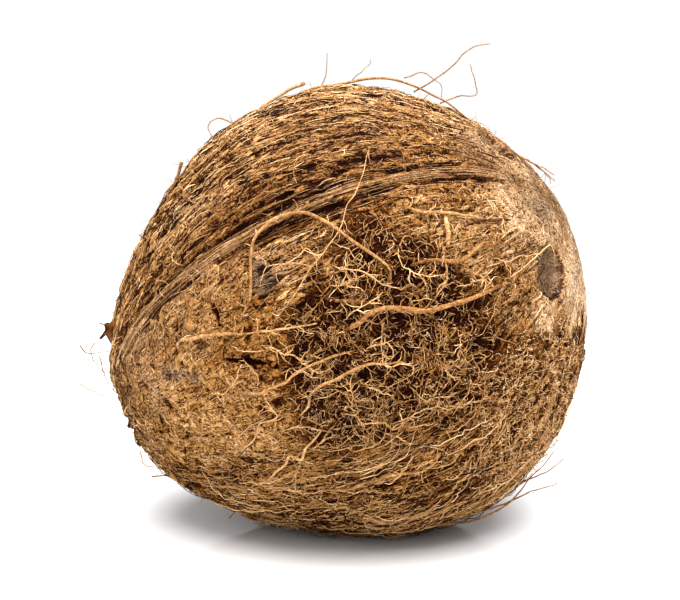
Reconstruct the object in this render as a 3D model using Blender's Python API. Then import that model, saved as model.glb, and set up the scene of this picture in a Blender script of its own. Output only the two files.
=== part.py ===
"""A whole brown coconut with its husk taken off, lying on its side on a small flat spot.

It is one closed solid: an egg-shaped nut with a blunt tip, a slightly three-sided waist and
three shallow eyes at the other end. Metres, +Z up, +X towards the end with the eyes. The
origin is under the middle of the nut, on the surface that it rests on.
"""

import math

import bmesh
import bpy
from mathutils import Matrix, Vector

# The nut about its own axis
WAIST_RADIUS = 0.0594  # from the axis to the side of the waist
HALF_LENGTH = 0.0549  # half of the plain ellipsoid that the nut starts from
TIP_RISE = 0.0142  # how far the blunt tip stands out beyond that ellipsoid
TIP_SPREAD = math.radians(39.5)
EYE_END_RISE = 0.0029  # the same at the end with the eyes, which is much blunter
EYE_END_SPREAD = math.radians(28.6)
FULLER_EYE_HALF = 0.039  # how much fuller the nut is between its waist and its eyes

# The cross-section: three ridges, where the husk's sutures run, on a slightly oval waist
RIDGE_RISE = 0.0013
RIDGE_ANGLE = math.radians(52.6)
OVAL_RISE = 0.0039
OVAL_ANGLE = math.radians(46.5)

# The three eyes: angle from the end of the axis, and angle around it
EYES = (
    (math.radians(25.9), math.radians(111.0)),
    (math.radians(27.7), math.radians(29.0)),
    (math.radians(26.0), math.radians(250.0)),
)
EYE_DEPTH = 0.0018
EYE_REACH = math.radians(7.0)  # the angle from an eye's middle to its rim

# How the nut lies
AXIS_TILT = math.radians(27.0)  # the end with the eyes is lifted by this
AXIS_TURN = math.radians(-8.0)  # and turned by this about the vertical
FLAT_DEPTH = 0.0013  # how much of the underside is pressed flat

# The mesh
MERIDIANS = 60
RINGS = 44
CUT_TOLERANCE = 0.000001
SNAP_DISTANCE = 0.00025  # points this near the flat are put on it, so that no sliver is left


def clear_scene():
    for item in list(bpy.data.objects):
        bpy.data.objects.remove(item, do_unlink=True)


def nut_radius(polar, around):
    """Distance from the nut's middle to its surface, without the eyes.

    polar is the angle from the end with the eyes, and around is the angle about the axis.
    """
    side = math.sin(polar)
    along = math.cos(polar)
    radius = 1.0 / math.hypot(side / WAIST_RADIUS, along / HALF_LENGTH)
    radius += TIP_RISE * math.exp(-(((math.pi - polar) / TIP_SPREAD) ** 2))
    radius += EYE_END_RISE * math.exp(-((polar / EYE_END_SPREAD) ** 2))
    radius += RIDGE_RISE * math.cos(3.0 * (around - RIDGE_ANGLE)) * side**2
    radius += OVAL_RISE * math.cos(2.0 * (around - OVAL_ANGLE)) * side**2
    return radius * (1.0 + FULLER_EYE_HALF * along * side**2)


def direction(polar, around):
    """The unit vector at these angles in the nut's own frame, whose Z is its axis."""
    side = math.sin(polar)
    return Vector((side * math.cos(around), side * math.sin(around), math.cos(polar)))


def eye_hollow(towards):
    """How deep the eyes' bowls are in this direction from the nut's middle."""
    depth = 0.0
    for polar, around in EYES:
        off = towards.angle(direction(polar, around)) / EYE_REACH
        if off < 1.0:
            depth += EYE_DEPTH * (1.0 - off**2) ** 2
    return depth


def lying_pose():
    """The turn from the nut's own frame to the frame in which it lies.

    Its Z becomes the tilted axis, and its X the direction square to that which points most
    nearly up.
    """
    level = math.cos(AXIS_TILT)
    axis = Vector((
        level * math.cos(AXIS_TURN),
        level * math.sin(AXIS_TURN),
        math.sin(AXIS_TILT),
    ))
    upward = Vector((0.0, 0.0, 1.0))
    upward -= axis * axis.dot(upward)
    upward.normalize()
    return Matrix((upward, axis.cross(upward), axis)).transposed()


def shape_nut(mesh):
    """Draws a unit ball's vertices out to the nut's surface."""
    for vertex in mesh.verts:
        towards = vertex.co.normalized()
        polar = math.acos(max(-1.0, min(1.0, towards.z)))
        around = math.atan2(towards.y, towards.x)
        vertex.co = towards * (nut_radius(polar, around) - eye_hollow(towards))


def lay_on_flat_spot(mesh):
    """Lays the nut down, presses its underside flat and stands it over the origin."""
    bmesh.ops.transform(mesh, matrix=lying_pose().to_4x4(), verts=mesh.verts)
    lowest = min(vertex.co.z for vertex in mesh.verts)
    flat_height = lowest + FLAT_DEPTH
    for vertex in mesh.verts:
        if abs(vertex.co.z - flat_height) < SNAP_DISTANCE:
            vertex.co.z = flat_height
    cut = bmesh.ops.bisect_plane(
        mesh,
        geom=mesh.verts[:] + mesh.edges[:] + mesh.faces[:],
        dist=CUT_TOLERANCE,
        plane_co=(0.0, 0.0, flat_height),
        plane_no=(0.0, 0.0, -1.0),
        clear_outer=True,
    )
    rim = [item for item in cut["geom_cut"] if isinstance(item, bmesh.types.BMEdge)]
    bmesh.ops.contextual_create(mesh, geom=rim)
    middle = [
        (min(v.co[i] for v in mesh.verts) + max(v.co[i] for v in mesh.verts)) / 2.0
        for i in (0, 1)
    ]
    bmesh.ops.translate(mesh, verts=mesh.verts, vec=(-middle[0], -middle[1], -flat_height))
    bmesh.ops.recalc_face_normals(mesh, faces=mesh.faces)


def coir_material():
    """Dry brown coir, the matted fibre that is left on the shell."""
    material = bpy.data.materials.new("coir")
    material.use_nodes = True
    surface = material.node_tree.nodes["Principled BSDF"]
    surface.inputs["Base Color"].default_value = (0.27, 0.135, 0.055, 1.0)
    surface.inputs["Roughness"].default_value = 0.85
    surface.inputs["Metallic"].default_value = 0.0
    return material


def make_coconut(collection):
    bpy.ops.mesh.primitive_uv_sphere_add(segments=MERIDIANS, ring_count=RINGS, radius=1.0)
    nut = bpy.context.object
    nut.name = "coconut"
    nut.data.name = "coconut"
    shape = bmesh.new()
    shape.from_mesh(nut.data)
    shape_nut(shape)
    lay_on_flat_spot(shape)
    shape.to_mesh(nut.data)
    shape.free()
    nut.data.shade_smooth()
    nut.data.set_sharp_from_angle(angle=math.radians(30.0))
    nut.data.materials.append(coir_material())
    for home in list(nut.users_collection):
        home.objects.unlink(nut)
    collection.objects.link(nut)
    return nut


clear_scene()
coconut_collection = bpy.data.collections.new("coconut")
bpy.context.scene.collection.children.link(coconut_collection)
make_coconut(coconut_collection)
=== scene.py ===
import itertools
import math

import bpy
import numpy as np
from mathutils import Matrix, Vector


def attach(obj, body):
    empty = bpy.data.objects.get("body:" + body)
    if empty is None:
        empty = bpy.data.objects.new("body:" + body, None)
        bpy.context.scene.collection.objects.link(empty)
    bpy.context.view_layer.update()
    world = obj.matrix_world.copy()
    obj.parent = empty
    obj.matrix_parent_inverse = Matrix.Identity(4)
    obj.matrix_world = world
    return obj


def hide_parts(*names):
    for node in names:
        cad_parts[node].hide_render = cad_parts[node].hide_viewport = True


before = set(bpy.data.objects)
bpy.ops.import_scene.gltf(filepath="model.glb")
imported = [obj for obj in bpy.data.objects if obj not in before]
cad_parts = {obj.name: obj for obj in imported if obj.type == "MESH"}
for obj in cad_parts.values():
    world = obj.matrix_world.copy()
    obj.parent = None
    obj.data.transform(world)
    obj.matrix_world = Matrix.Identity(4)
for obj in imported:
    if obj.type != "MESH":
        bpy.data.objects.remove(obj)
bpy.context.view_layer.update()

MM = 0.001


# --- Skin -----------------------------------------------------------------------------------
# The real piece is the outside of the shell with the pith and coir that stay on it when the
# husk is torn off. It grew as one egg shape. It tore into pits, and into ledges and cracks
# that run from the end with the eyes to the tip.

WAIST_RADIUS = 59.4 * MM
HALF_LENGTH = 54.9 * MM
TIP_RISE = 14.2 * MM
TIP_SPREAD = math.radians(39.5)
EYE_END_RISE = 2.9 * MM
EYE_END_SPREAD = math.radians(28.6)
FULLER_EYE_HALF = 0.039
RIDGE_RISE = 1.3 * MM
RIDGE_ANGLE = math.radians(52.6)
OVAL_RISE = 3.9 * MM
OVAL_ANGLE = math.radians(46.5)
AXIS_TILT = math.radians(27.0)
AXIS_TURN = math.radians(-8.0)
FLAT_DEPTH = 1.3 * MM

SKIN_CUTS = 125
SKIN_DEPTH = 1.0 * MM  # the skin lies this far under the outside of the mat
EYES = (  # angles, depth in mm, degrees from its middle to its rim, darkness of the painted shadow at its foot
    (25.9, 111.0, 2.2, 7.0, 1.0),
    (27.7, 29.0, 2.1, 5.6, 0.3),
    (26.0, 250.0, 2.1, 6.2, 0.8),
)
BAND_WIDTH = 3.4 * MM  # of the smooth band over each suture
BAND_HEIGHT = 0.3 * MM
RIB_HEIGHT = 0.14 * MM  # of the ribs that run along the band
PIT_DEPTH = 0.8 * MM
HOLLOW_DEPTH = 1.3 * MM
CRACK_DEPTH = 1.0 * MM
SIDE_CRACK_DEPTH = 1.1 * MM
GAP_DEPTH = 1.6 * MM
RIDGE_HEIGHT = 0.9 * MM
RIM_HEIGHT = 0.35 * MM  # of the soft rim round each eye
GAPS = (  # tears in the husk: width in mm, route
    (1.0, ((72, 50), (67, 50), (58, 50), (52, 48.5), (46, 47))),
    (0.9, ((95, 53.5), (89, 53.5), (83, 53.5), (76, 53), (71, 52.5))),
    (0.7, ((84, 39.6), (79, 38.7), (73, 37))),
    (0.7, ((99, 44), (94, 42.5), (89, 41.4))),
    (0.7, ((63, 41), (57, 40), (52, 41))),
    (0.6, ((113, 45), (107, 46), (102, 45.5))),
    (0.6, ((125, 47), (119, 49), (113, 50))),
    (1.0, ((48, 144.5), (54, 142.7), (60, 142.4), (64, 141))),
    (1.1, ((110, 67), (110, 70), (110.7, 72.5))),
    (1.0, ((114, 80), (110, 82.4), (106, 84.5), (103, 86.8))),
    (1.4, ((57, 105), (59, 107), (60, 112))),
    (1.4, ((64, 93), (61, 95.7))),
    (0.7, ((142, 98), (139, 106), (134, 114))),
    (0.7, ((118, 124), (112, 123), (106, 124))),
    (0.6, ((97, 137), (90, 137), (83, 139))),
    (0.9, ((41.5, 62.4), (43.5, 63.0))),
    (0.8, ((96, 196), (88, 199), (80, 198), (71, 200))),
    (1.0, ((120, 301), (112, 299), (101, 300), (92, 298))),
)
GREYED = (  # where it is worn grey: width in mm, greyness, how much darker, route
    (9.0, 0.3, 0.0, ((24, 69), (18, 77), (21, 92))),
    (24.0, 0.1, 0.03, ((44, 30), (32, 44), (22, 64))),
    (5.5, 1.2, 0.22, ((95, 66), (96, 70))),
    (5.0, 0.6, 0.10, ((135, 74), (130, 77), (126, 80))),
    (7.0, 0.8, 0.10, ((104, 236), (96, 241))),
)
FAR_FROM_EYES = 9.0  # where an eye's rim is at 1
RIDGE_ROUTE = ((36, 36), (29, 40), (23, 44), (18, 62), (14, 89))  # between the eyes, in degrees


def nut_radius(towards):
    """Distance from the nut's middle to its smooth outside, along these unit vectors."""
    along = towards[:, 2]
    polar = np.arccos(np.clip(along, -1.0, 1.0))
    around = np.arctan2(towards[:, 1], towards[:, 0])
    side = np.sin(polar)
    radius = 1.0 / np.hypot(side / WAIST_RADIUS, along / HALF_LENGTH)
    radius += TIP_RISE * np.exp(-(((math.pi - polar) / TIP_SPREAD) ** 2))
    radius += EYE_END_RISE * np.exp(-((polar / EYE_END_SPREAD) ** 2))
    radius += RIDGE_RISE * np.cos(3.0 * (around - RIDGE_ANGLE)) * side**2
    radius += OVAL_RISE * np.cos(2.0 * (around - OVAL_ANGLE)) * side**2
    return radius * (1.0 + FULLER_EYE_HALF * along * side**2)


def direction(polar, around):
    """Unit vectors at these angles, in degrees, from and about the nut's axis."""
    polar, around = np.radians(polar), np.radians(around)
    side = np.sin(polar)
    return np.stack((side * np.cos(around), side * np.sin(around), np.cos(polar)), -1)


def lying_pose():
    """Rows are the nut's own X, Y and Z as it lies: Z is its axis, X points most nearly up."""
    level = math.cos(AXIS_TILT)
    axis = np.array((
        level * math.cos(AXIS_TURN),
        level * math.sin(AXIS_TURN),
        math.sin(AXIS_TILT),
    ))
    upward = np.array((0.0, 0.0, 1.0)) - axis * axis[2]
    upward /= np.linalg.norm(upward)
    return np.stack((upward, np.cross(axis, upward), axis))


def unit(vectors):
    """The same vectors with a length of 1."""
    return vectors / np.linalg.norm(vectors, axis=-1, keepdims=True)


LATTICE = np.random.default_rng(11).random((64, 64, 64))


def noise(places, width, shift=0.0):
    """Smooth noise from 0 to 1, with bumps about width across."""
    at = places / width + shift
    cell = np.floor(at).astype(np.int64)
    part = at - cell
    ease = part * part * (3.0 - 2.0 * part)
    total = np.zeros(len(at))
    for corner in itertools.product((0, 1), repeat=3):
        weight = np.prod(np.where(corner, ease, 1.0 - ease), axis=1)
        i, j, k = ((cell + corner) % len(LATTICE)).T
        total += weight * LATTICE[i, j, k]
    return total


def grain(towards, stretch):
    """Places in metres, drawn together along the meridians, so noise there comes out streaked."""
    ring = np.hypot(towards[:, 0], towards[:, 1]) + 1e-9
    wander = 0.10 * (noise(towards, 0.5, 9.0) - 0.5)
    around = np.arctan2(towards[:, 1], towards[:, 0]) + wander * ring
    polar = np.arccos(np.clip(towards[:, 2], -1.0, 1.0))
    flat = np.stack((np.cos(around), np.sin(around), polar / stretch), -1)
    return flat * WAIST_RADIUS


def patch(towards, polar, around, reach, soft=9.0):
    """1 within reach degrees of this place on the nut, 0 outside, with a ragged edge."""
    off = np.degrees(np.arccos(np.clip(towards @ direction(polar, around), -1.0, 1.0)))
    off += 16.0 * (noise(towards, 0.16, 3.0) - 0.5) + 7.0 * (noise(towards, 0.05, 8.0) - 0.5)
    return np.clip((reach - off) / soft + 0.5, 0.0, 1.0)


def steps(values, height, steepness=3.0):
    """The values gathered into flat steps with steep edges between them."""
    whole = np.floor(values / height)
    part = values / height - whole
    rise = np.clip((part - 0.5) * steepness + 0.5, 0.0, 1.0)
    return (whole + rise * rise * (3.0 - 2.0 * rise)) * height


def smooth_route(route, count):
    """count points on one smooth curve through the route's points."""
    route = np.array(route, float)
    route = np.concatenate((2.0 * route[:1] - route[1:2], route, 2.0 * route[-1:] - route[-2:-1]))
    at = np.linspace(0.0, len(route) - 3.0001, count)
    whole = at.astype(int)
    t = (at - whole)[:, None]
    a, b, c, d = (route[whole + i] for i in range(4))
    return 0.5 * (2.0 * b + (c - a) * t + (2.0 * a - 5.0 * b + 4.0 * c - d) * t**2
                  + (3.0 * b - a - 3.0 * c + d) * t**3)


def stroke(towards, route, reach):
    """1 along the route, falling to 0 at reach metres to the side of it."""
    places = smooth_route(route, 90)
    near = (towards @ direction(places[:, 0], places[:, 1]).T).max(axis=1)
    off = np.sqrt(np.maximum(2.0 - 2.0 * near, 0.0)) * WAIST_RADIUS
    return np.clip(1.0 - off / reach, 0.0, 1.0)


def torn_open(towards):
    """About 1 in the middle of each gap in the husk, 0.5 at its ragged edges, 0 well outside."""
    gap = np.zeros(len(towards))
    for width, route in GAPS:
        gap = np.maximum(gap, stroke(towards, route, width * MM))
    return gap * (0.55 + 0.9 * noise(towards * WAIST_RADIUS, 2.5 * MM, 53.0))


def suture_angle(polar):
    """Degrees about the axis of the first suture at this polar angle, in degrees: it bows."""
    return 53.0 + 5.0 * np.sin(np.clip((polar - 25.0) / 125.0, 0.0, 1.0) * math.pi)


def suture_offset(towards):
    """Signed distance in metres to the nearest of the three sutures, along the surface."""
    polar = np.arccos(np.clip(towards[:, 2], -1.0, 1.0))
    around = np.degrees(np.arctan2(towards[:, 1], towards[:, 0]))
    off = (around - suture_angle(np.degrees(polar)) + 60.0) % 120.0 - 60.0
    return np.radians(off) * np.sin(polar) * WAIST_RADIUS


def off_the_ends(towards):
    """0 at both ends of the nut, where the sutures fade out, and 1 between them."""
    return np.clip((np.hypot(towards[:, 0], towards[:, 1]) - 0.45) * 5.0, 0.0, 1.0)


def suture_band(towards):
    """1 on the smooth bands that cover the three sutures."""
    wear_and_painted_light = np.clip(2.6 - 3.0 * noise(towards, 0.30, 19.0), 0.0, 1.0)
    # It narrows towards the eyes
    narrow = 0.82 - 0.34 * np.clip((towards[:, 2] + 0.10) * 2.5, 0.0, 1.0)
    edge = np.abs(suture_offset(towards)) / (narrow * BAND_WIDTH / 2.0)
    edge += 0.5 * (noise(towards, 0.03) - 0.5)
    return off_the_ends(towards) * wear_and_painted_light * np.clip((1.15 - edge) * 3.0, 0.0, 1.0)


def regions(towards):
    """How much there is of pith, curly mat, bare eye end, stubble, felt and suture band."""
    bare = patch(towards, 0, 0, 34, 12.0)
    felt = np.maximum(patch(towards, 47, 44, 15), patch(towards, 49, 66, 13))
    felt = np.maximum(felt, np.maximum(patch(towards, 43, 84, 10), patch(towards, 52, 205, 16)))
    felt = np.maximum(felt, np.maximum(patch(towards, 36, 112, 11), patch(towards, 44, 108, 10)))
    felt *= 1.0 - bare
    rest = 1.0 - np.maximum(bare, felt)
    mat = np.maximum(patch(towards, 70, 94, 25.5), patch(towards, 92, 106, 13))
    mat = np.maximum(mat, patch(towards, 82, 262, 33)) * rest
    stubble = np.maximum(patch(towards, 52, 146, 27), patch(towards, 46, 118, 13))
    stubble = np.maximum(stubble, patch(towards, 46, 318, 24)) * rest * (1.0 - mat)
    # The husk tore off in layers above the first suture and broke up below it
    polar = np.degrees(np.arccos(np.clip(towards[:, 2], -1.0, 1.0)))
    around = np.degrees(np.arctan2(towards[:, 1], towards[:, 0]))
    below = np.clip(0.5 + (around - suture_angle(polar)) / 6.0, 0.0, 1.0)
    pith = np.maximum(patch(towards, 130, 74, 36), patch(towards, 106, 72, 12)) * below
    pith = np.maximum(pith, np.maximum(patch(towards, 158, 300, 26), patch(towards, 118, 215, 20)))
    return pith * rest * (1.0 - mat), mat, bare, stubble, felt, suture_band(towards)


def skin(towards):
    """What the skin is like in these directions, as six arrays: its height in metres over a level
    SKIN_DEPTH under the smooth nut; lightness, greyness and raggedness, each from 0 to 1, where in
    an eye the raggedness is the strength of the painted shadow at the foot of its wall; how far
    out from the nearest eye's middle, with its rim at 1; and how near a gap, with its edge at
    0.5."""
    places = towards * WAIST_RADIUS
    pith, mat, bare, stubble, felt, band = regions(towards)
    strata = np.clip(1.0 - pith - mat - bare - stubble - felt, 0.0, 1.0)

    # Long ledges, where layers of the husk tore off
    long_grain = grain(towards, 7.0)
    layers = noise(long_grain, 3.0 * MM) + 0.55 * noise(long_grain, 1.4 * MM, 5.0)
    ledges = steps(layers, 0.20) - 0.78
    height = (2.2 * strata + 0.9 * pith + 0.8 * mat + 0.9 * stubble + 0.5 * felt) * MM * ledges

    # Lumps of pith, and the pits between them
    lumps = noise(places, 4.2 * MM, 2.0) + 0.4 * noise(places, 1.8 * MM, 4.0)
    flakes = steps(lumps, 0.18) - 0.7
    height += (0.9 * pith + 1.5 * mat + 1.1 * stubble + 0.4 * strata + 0.25 * felt) * MM * flakes
    pits = np.clip((noise(places, 1.7 * MM, 7.0) - 0.76) * 9.0, 0.0, 1.0) * (1.0 - bare)
    height -= PIT_DEPTH * pits

    # Hollows in the mat, where coir was pulled off down to the shell
    hollows = np.clip((noise(places, 8.0 * MM, 1.0) - 0.52) * 3.0, 0.0, 1.0) * mat
    height -= HOLLOW_DEPTH * hollows

    # Cracks along the fibres
    line = np.abs(noise(grain(towards, 11.0), 2.6 * MM, 13.0) - 0.5)
    cracks = np.clip(1.0 - line / 0.05, 0.0, 1.0) * (noise(places, 9.0 * MM, 17.0) > 0.5)
    cracks *= strata + 0.6 * felt + 0.4 * pith
    height -= CRACK_DEPTH * cracks

    # The three sutures: smooth raised bands with a broken crack along each side
    off = suture_offset(towards)
    side_crack = np.exp(-(((np.abs(off) - 0.62 * BAND_WIDTH) / (0.6 * MM)) ** 2))
    side_crack *= np.clip(noise(places, 6.0 * MM, 29.0) * 3.0 - 0.7, 0.0, 1.0)
    side_crack *= off_the_ends(towards)
    ribs = np.sin(off / (0.40 * MM) + 5.0 * noise(places, 9.0 * MM, 41.0))
    height = height * (1.0 - band) + band * (BAND_HEIGHT + RIB_HEIGHT * ribs)
    height -= SIDE_CRACK_DEPTH * side_crack

    # A low smooth ridge runs between the near eye and the upper one
    ridge = stroke(towards, RIDGE_ROUTE, 5.0 * MM) ** 1.5
    height += RIDGE_HEIGHT * ridge

    # Painted light: the bare end is paler low down and darker where it faces up, and the layers that face
    # up are painted greyer, as painted sheen from the light above
    upward = np.clip((towards @ POSE)[:, 2], 0.0, 1.0)
    wear_and_painted_light = 0.90 - 0.33 * upward
    # The skin under the mat and the stubble is much darker: partly its own dark colour, partly painted
    # shade under the fibres
    light = 0.59 * strata + 0.68 * pith + 0.09 * mat + wear_and_painted_light * bare + 0.36 * stubble + 0.65 * felt
    # Lightness also follows the height: painted shade in the hollows and painted light on the raised
    # parts, on top of the pith's own darker crevices
    light += 0.14 * (noise(places, 12.0 * MM, 31.0) - 0.5) + 90.0 * height * (1.0 - bare)
    dusty = noise(places, 5.0 * MM, 61.0) + 0.5 * noise(grain(towards, 5.0), 1.6 * MM, 63.0) - 0.75
    light += 0.30 * dusty * bare
    height += (0.9 + 0.5 * dusty) * MM * bare
    # Cracks, pits and the cracks beside the sutures are painted darker: painted shade in these hollows
    light -= 0.35 * cracks + 0.40 * pits + 0.45 * side_crack
    light -= 0.13 * patch(towards, 102, 83, 17, 18.0) * pith
    beside = np.exp(-((off / (6.0 * MM)) ** 2)) * noise(grain(towards, 5.0), 4.0 * MM, 71.0)
    beside *= np.clip((towards[:, 2] + 0.45) * 3.0, 0.1, 1.0)
    light -= 0.36 * beside * (strata + felt) - 0.01 * strata
    # On the band the lightness rises and falls with the ribs: painted light on their crests and painted
    # shade between them
    light = light * (1.0 - band) + band * (0.51 + 0.14 * ribs) + 0.05 * ridge
    # Layers that face up are greyer: painted sheen from the light above
    grey = 0.24 * band + 0.45 * bare + 0.15 * felt + 0.30 * strata * upward
    grey += 0.25 * np.exp(-((off / (12.0 * MM)) ** 2)) * pith
    grey += 0.25 * np.clip((noise(places, 7.0 * MM, 37.0) - 0.70) * 6.0, 0.0, 1.0) * (1.0 - mat)
    for width, greyness, darker, route in GREYED:
        worn_through = stroke(towards, route, 0.5 * width * MM) * 3.0 * noise(places, 2.0 * MM, 51.0)
        share = np.clip(worn_through, 0.0, 1.0)
        grey += greyness * share
        light -= darker * share
    gap = torn_open(towards)
    height -= GAP_DEPTH * np.clip(2.0 * gap - 0.6, 0.0, 1.0)
    ragged_and_eye_shadow = np.clip(1.0 - 0.35 * bare - 0.25 * felt - 0.6 * band, 0.0, 1.0)

    # Eyes: shallow dishes with a steep wall and a soft rim
    rim = np.full(len(towards), FAR_FROM_EYES)
    for polar, around, depth, reach, foot in EYES:
        off_eye = np.degrees(np.arccos(np.clip(towards @ direction(polar, around), -1.0, 1.0)))
        share = off_eye / reach + 0.10 * (noise(places, 3.0 * MM, 23.0) - 0.5)
        dish = np.clip((1.0 - share) * 7.0, 0.0, 1.0)
        bowl = np.clip(1.0 - share**2, 0.0, 1.0)
        height = height * (1.0 - dish) - depth * MM * (0.7 * dish + 0.3 * bowl)
        height += RIM_HEIGHT * np.exp(-(((share - 1.15) / 0.2) ** 2))
        light = light * (1.0 - dish) + dish * (0.47 + 0.25 * (noise(places, 1.5 * MM, 67.0) - 0.5))
        rim = np.minimum(rim, share)
        # The foot of the wall carries a painted shadow line, strong on its lower and near side and faint
        # on its upper and far side
        aside = unit(towards - direction(polar, around) + 1e-9) @ POSE
        shadow_side = np.clip(0.5 - 0.45 * aside[:, 1] - 0.45 * aside[:, 2], 0.1, 1.0)
        # In an eye this holds the strength of the painted shadow line at the foot of its wall
        ragged_and_eye_shadow = np.where(dish > 0.0, 0.5 * foot * shadow_side, ragged_and_eye_shadow)
    return height, np.clip(light, 0.0, 1.0), np.clip(grey, 0.0, 1.0), ragged_and_eye_shadow, rim, gap


POSE = lying_pose()
FLOOR_GAP = 0.1 * MM


def stand_of(towards):
    """Where the nut's middle is as it stands, worked out much as the CAD solid's was."""
    outside = (towards * nut_radius(towards)[:, None]) @ POSE
    low, high = outside.min(axis=0), outside.max(axis=0)
    return np.array((-(low[0] + high[0]) / 2.0, -(low[1] + high[1]) / 2.0, -low[2] - FLAT_DEPTH))


def placed(towards, radius, clearance=0.0):
    """World places at this distance from the nut's middle, kept above the floor."""
    world = (towards * radius[..., None]) @ POSE + MIDDLE
    world[..., 2] = np.maximum(world[..., 2], FLOOR_GAP + clearance)
    return world


def linear(colour):
    """The linear RGBA of an sRGB hex colour."""
    parts = [int(colour[i:i + 2], 16) / 255.0 for i in (1, 3, 5)]
    parts = [p / 12.92 if p <= 0.04045 else ((p + 0.055) / 1.055) ** 2.4 for p in parts]
    return (*parts, 1.0)


def node(tree, kind, links=(), **settings):
    """Adds a node. Settings are its properties, or inputs by name or number; links feed inputs."""
    made = tree.nodes.new(kind)
    for key, value in settings.items():
        if key.startswith("in_"):
            slot = key[3:].replace("_", " ")
            made.inputs[int(slot) if slot.isdigit() else slot].default_value = value
        else:
            setattr(made, key, value)
    for slot, source in dict(links).items():
        tree.links.new(source, made.inputs[slot])
    return made


def ramp(tree, source, stops):
    """A colour for each value of the source, from stops of a place and an sRGB colour."""
    made = node(tree, "ShaderNodeValToRGB", {"Fac": source})
    points = made.color_ramp.elements
    while len(points) < len(stops):
        points.new(0.5)
    for point, (place, colour) in zip(points, stops):
        point.position = place
        point.color = linear(colour)
    return made.outputs["Color"]


# Coir and its pith, dry and matt: nearly black-brown in the gaps, golden tan where it is worn
COIR_TONES = (
    (0.0, "#180100"), (0.12, "#280700"), (0.25, "#3f1800"), (0.38, "#5d3205"), (0.52, "#81511d"),
    (0.66, "#a57640"), (0.80, "#c1955f"), (0.92, "#dbb07f"), (1.0, "#f2cb9b"),
)
# The same where it has gone grey, as on the sutures and in the eyes, and where the layers that face up
# carry painted sheen
GREY_TONES = (
    (0.0, "#1c110b"), (0.12, "#2c1c12"), (0.25, "#45301f"), (0.38, "#614733"), (0.52, "#7e6349"),
    (0.66, "#9b7e62"), (0.80, "#b89a7d"), (0.92, "#d6b99b"), (1.0, "#eed6bb"),
)


def maths(tree, operation, *terms):
    """A Math node on these terms, each a number or another node's output."""
    made = node(tree, "ShaderNodeMath", operation=operation)
    for slot, term in zip(made.inputs, terms):
        if isinstance(term, (int, float)):
            slot.default_value = term
        else:
            tree.links.new(term, slot)
    return made.outputs[0]


def speckle(tree, places, width, detail, roughness=0.6):
    """Noise about zero, with grains this wide, in metres."""
    made = node(tree, "ShaderNodeTexNoise", {"Vector": places}, in_Scale=1.0 / width,
                in_Detail=detail, in_Roughness=roughness)
    return maths(tree, "SUBTRACT", made.outputs["Fac"], 0.5)


def between(tree, source, low, high, at_low, at_high):
    """A value that goes from at_low to at_high as the source goes from low to high."""
    return node(tree, "ShaderNodeMapRange", {"Value": source}, in_1=low, in_2=high,
                in_3=at_low, in_4=at_high).outputs["Result"]


def dry_material(name, roughness):
    """A new material, with its shader: dry plant matter with hardly any shine."""
    made = bpy.data.materials.new(name)
    made.use_nodes = True
    surface = made.node_tree.nodes["Principled BSDF"]
    surface.inputs["Roughness"].default_value = roughness
    surface.inputs["Specular IOR Level"].default_value = 0.06
    return made, surface


def colour_by(tree, surface, tone, grey):
    """Colours the surface: tone is how light it is, and grey turns it from brown to grey, both worn grey
    and painted sheen.
    """
    mix = node(tree, "ShaderNodeMix", {"Factor": grey, 6: ramp(tree, tone, COIR_TONES),
                                       7: ramp(tree, tone, GREY_TONES)}, data_type="RGBA")
    tree.links.new(mix.outputs[2], surface.inputs["Base Color"])


def roughen(tree, surface, relief, depth):
    """Gives the surface this relief, where a height of 1 stands for this many metres."""
    bump = node(tree, "ShaderNodeBump", {"Height": relief}, in_Strength=1.0, in_Distance=depth)
    tree.links.new(bump.outputs["Normal"], surface.inputs["Normal"])


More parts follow.
